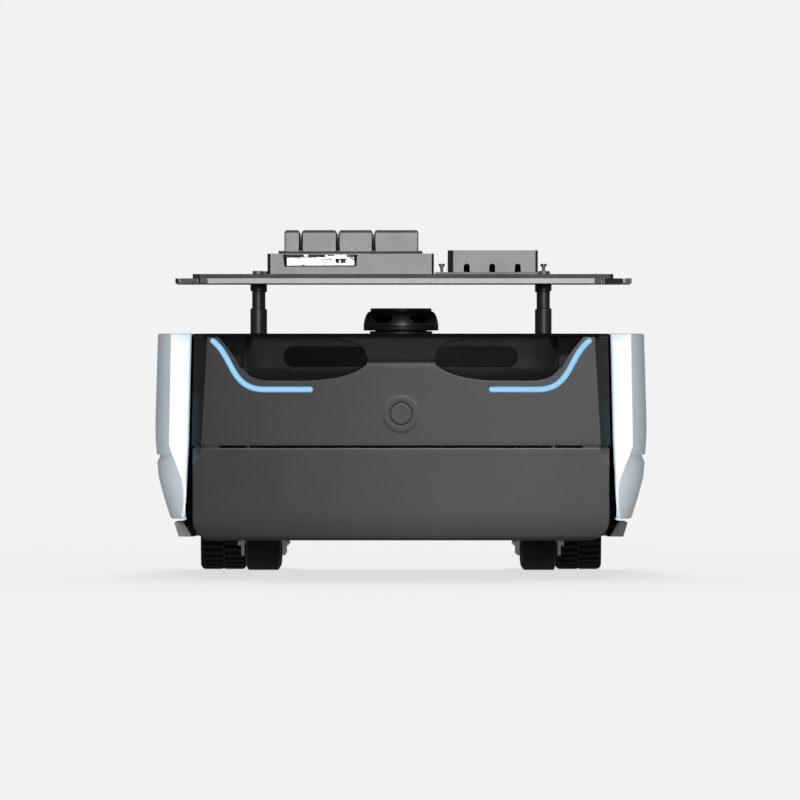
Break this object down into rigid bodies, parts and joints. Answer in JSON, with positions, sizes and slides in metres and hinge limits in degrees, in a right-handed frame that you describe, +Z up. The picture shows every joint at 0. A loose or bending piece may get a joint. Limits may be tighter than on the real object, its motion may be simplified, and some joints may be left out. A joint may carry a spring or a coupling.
{
  "type": "two-wheel robot base",
  "caption": "Indoor robot base with two sprung hub-motor wheels, swivel casters, touch bumper, cameras and a payload plate with a computer.",
  "frame": {"origin": "on the floor, below the middle of the body", "axes": "the front faces -Y, +Z is up, +X is the robot's left"},
  "size_m": [0.493, 0.5466, 0.341],
  "materials": {
    "charcoal_plastic": "fine moulded grain",
    "button_plastic": "satin",
    "black_plastic": "satin",
    "white_gloss": "gloss lacquer over moulded plastic",
    "sill_grey": "powder coat",
    "light_guide": "lit translucent guide",
    "dark_window": "polished infrared-pass panel",
    "camera_body": "anodised",
    "sheet_aluminium": "rolled sheet",
    "frame_steel": "zinc primer",
    "deck_black": "powder coat",
    "post_grey": "dark anodised",
    "plate_light": "clear anodised",
    "plate_dark": "black anodised",
    "case_grey": "grey anodised",
    "base_grey": "powder coat",
    "socket_metal": "stamped",
    "bright_steel": "machined",
    "battery_blue": "shrink wrap",
    "board_green": "solder mask",
    "contact_brass": "worn",
    "spring_steel": "drawn wire",
    "hub_aluminium": "cast and turned",
    "tyre_rubber": "moulded rubber",
    "zinc": "zinc plated, pressed",
    "caster_tread": "smooth thermoplastic rubber"
  },
  "bodies": {
    "chassis": {"front_cover": "charcoal_plastic", "rear_cover": "charcoal_plastic", "button_bezel": "button_plastic", "bumper_guides": "black_plastic", "lidar_base": "black_plastic", "motor_driver": "black_plastic", "rear_port_panel": "black_plastic", "left_side_cover": "white_gloss", "right_side_cover": "white_gloss", "left_sill": "sill_grey", "right_sill": "sill_grey", "left_light_strip": "light_guide", "right_light_strip": "light_guide", "left_camera_window": "dark_window", "right_camera_window": "dark_window", "left_depth_camera": "camera_body", "right_depth_camera": "camera_body", "chassis_tray": "sheet_aluminium", "front_caster_bracket": "sheet_aluminium", "rear_caster_bracket": "sheet_aluminium", "inner_frame": "frame_steel", "pivot_brackets": "frame_steel", "deck_plate": "deck_black", "support_posts": "post_grey", "adapter_plate": "plate_light", "top_plate": "plate_dark", "computer_case": "case_grey", "computer_heatsink": "case_grey", "interface_box": "case_grey", "interface_base": "base_grey", "computer_ports": "socket_metal", "deck_screws": "bright_steel", "post_screws": "bright_steel", "interface_screws": "bright_steel", "battery_pack": "battery_blue", "control_board": "board_green", "charge_contacts": "contact_brass", "left_spring": "spring_steel", "right_spring": "spring_steel", "caster_plates": "zinc"},
    "bumper": {"bumper": "charcoal_plastic"},
    "power_button": {"power_button": "button_plastic"},
    "lidar_head": {"lidar_head": "black_plastic", "lidar_lenses": "dark_window"},
    "left_arm": {"left_swing_arm": "frame_steel", "left_axle": "bright_steel"},
    "left_wheel": {"left_hub": "hub_aluminium", "left_tyre": "tyre_rubber"},
    "right_arm": {"right_swing_arm": "frame_steel", "right_axle": "bright_steel"},
    "right_wheel": {"right_hub": "hub_aluminium", "right_tyre": "tyre_rubber"},
    "front_left_swivel": {"front_left_caster_fork": "zinc"},
    "front_left_roller": {"front_left_caster_wheel": "caster_tread"},
    "front_right_swivel": {"front_right_caster_fork": "zinc"},
    "front_right_roller": {"front_right_caster_wheel": "caster_tread"},
    "rear_left_swivel": {"rear_left_caster_fork": "zinc"},
    "rear_left_roller": {"rear_left_caster_wheel": "caster_tread"},
    "rear_right_swivel": {"rear_right_caster_fork": "zinc"},
    "rear_right_roller": {"rear_right_caster_wheel": "caster_tread"}
  },
  "joints": [
    {"name": "bumper_press", "type": "slide", "parent": "chassis", "child": "bumper", "axis": [0, 1, 0], "range_m": [0, 0.005], "stiffness_N_per_m": 2000, "springref_m": -0.002},
    {"name": "button_press", "type": "slide", "parent": "chassis", "child": "power_button", "axis": [0, 1, 0], "range_m": [0, 0.0015], "stiffness_N_per_m": 1500, "springref_m": -0.0005},
    {"name": "lidar_spin", "type": "hinge", "parent": "chassis", "child": "lidar_head", "pos_m": [0, 0, 0.25], "axis": [0, 0, 1], "continuous": true},
    {"name": "left_suspension", "type": "hinge", "parent": "chassis", "child": "left_arm", "pos_m": [0.142, -0.095, 0.078], "axis": [1, 0, 0], "range_deg": [-4, 4], "stiffness_Nm_per_rad": 60, "springref_deg": -5.73, "deforming": ["left_spring"]},
    {"name": "left_wheel_spin", "type": "hinge", "parent": "left_arm", "child": "left_wheel", "pos_m": [0.1785, 0, 0.085], "axis": [1, 0, 0], "continuous": true},
    {"name": "right_suspension", "type": "hinge", "parent": "chassis", "child": "right_arm", "pos_m": [-0.142, -0.095, 0.078], "axis": [1, 0, 0], "range_deg": [-4, 4], "stiffness_Nm_per_rad": 60, "springref_deg": -5.73, "deforming": ["right_spring"]},
    {"name": "right_wheel_spin", "type": "hinge", "parent": "right_arm", "child": "right_wheel", "pos_m": [-0.1785, 0, 0.085], "axis": [1, 0, 0], "continuous": true},
    {"name": "front_left_swivel_turn", "type": "hinge", "parent": "chassis", "child": "front_left_swivel", "pos_m": [0.138, -0.19, 0.068], "axis": [0, 0, 1], "continuous": true},
    {"name": "front_left_roller_spin", "type": "hinge", "parent": "front_left_swivel", "child": "front_left_roller", "pos_m": [0.138, -0.168, 0.031], "axis": [1, 0, 0], "continuous": true},
    {"name": "front_right_swivel_turn", "type": "hinge", "parent": "chassis", "child": "front_right_swivel", "pos_m": [-0.138, -0.19, 0.068], "axis": [0, 0, 1], "continuous": true},
    {"name": "front_right_roller_spin", "type": "hinge", "parent": "front_right_swivel", "child": "front_right_roller", "pos_m": [-0.138, -0.168, 0.031], "axis": [1, 0, 0], "continuous": true},
    {"name": "rear_left_swivel_turn", "type": "hinge", "parent": "chassis", "child": "rear_left_swivel", "pos_m": [0.138, 0.19, 0.068], "axis": [0, 0, 1], "continuous": true},
    {"name": "rear_left_roller_spin", "type": "hinge", "parent": "rear_left_swivel", "child": "rear_left_roller", "pos_m": [0.138, 0.212, 0.031], "axis": [1, 0, 0], "continuous": true},
    {"name": "rear_right_swivel_turn", "type": "hinge", "parent": "chassis", "child": "rear_right_swivel", "pos_m": [-0.138, 0.19, 0.068], "axis": [0, 0, 1], "continuous": true},
    {"name": "rear_right_roller_spin", "type": "hinge", "parent": "rear_right_swivel", "child": "rear_right_roller", "pos_m": [-0.138, 0.212, 0.031], "axis": [1, 0, 0], "continuous": true}
  ]
}
